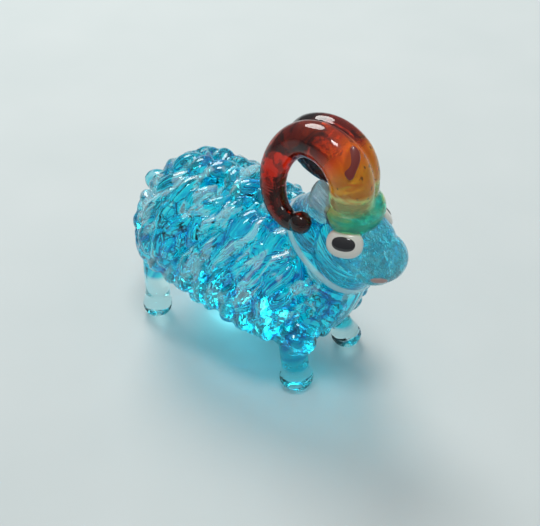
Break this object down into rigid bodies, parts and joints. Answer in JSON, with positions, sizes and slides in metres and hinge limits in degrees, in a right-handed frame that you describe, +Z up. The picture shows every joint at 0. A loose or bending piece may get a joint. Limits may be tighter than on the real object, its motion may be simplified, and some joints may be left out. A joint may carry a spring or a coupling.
{
  "type": "glass animal figurine",
  "caption": "Miniature lampworked glass ram with curled horns, round legs and a fleece of laid-on glass trails, standing free.",
  "frame": {"origin": "on the ground under the middle of the overall length and width", "axes": "+X towards the nose, +Y towards the ram's left side, +Z up"},
  "size_m": [0.0348, 0.0166, 0.0335],
  "materials": {
    "blue_glass": "fire-polished transparent aqua",
    "pale_blue_glass": "fire-polished paler aqua with fine seeds",
    "clear_glass": "fire-polished colourless",
    "amber_glass": "fire-polished, amber at the root and dark red to the tip",
    "green_glass": "fire-polished green and yellow",
    "white_glass": "opaque, glossy",
    "black_glass": "opaque, glossy",
    "pink_glass": "opaque, glossy"
  },
  "bodies": {
    "root": {"body_core": "blue_glass", "neck": "blue_glass", "head": "blue_glass", "muzzle": "pale_blue_glass", "mouth": "pink_glass", "horn_collar": "green_glass", "horn_right": "amber_glass", "horn_left": "amber_glass", "ear_right": "clear_glass", "ear_left": "clear_glass", "eye_right": "white_glass", "eye_left": "white_glass", "pupil_right": "black_glass", "pupil_left": "black_glass", "rear_leg_right": "clear_glass", "rear_leg_left": "clear_glass", "front_leg_right": "blue_glass", "front_leg_left": "blue_glass", "front_foot_right": "clear_glass", "front_foot_left": "clear_glass", "tail": "blue_glass", "wool_ridge": "blue_glass", "wool_rump": "blue_glass", "wool_upper_right": "blue_glass", "wool_upper_left": "blue_glass", "wool_high_right": "blue_glass", "wool_high_left": "blue_glass", "wool_middle_right": "blue_glass", "wool_middle_left": "blue_glass", "wool_low_right": "blue_glass", "wool_low_left": "blue_glass", "wool_belly_right": "blue_glass", "wool_belly_left": "blue_glass"}
  },
  "joints": []
}
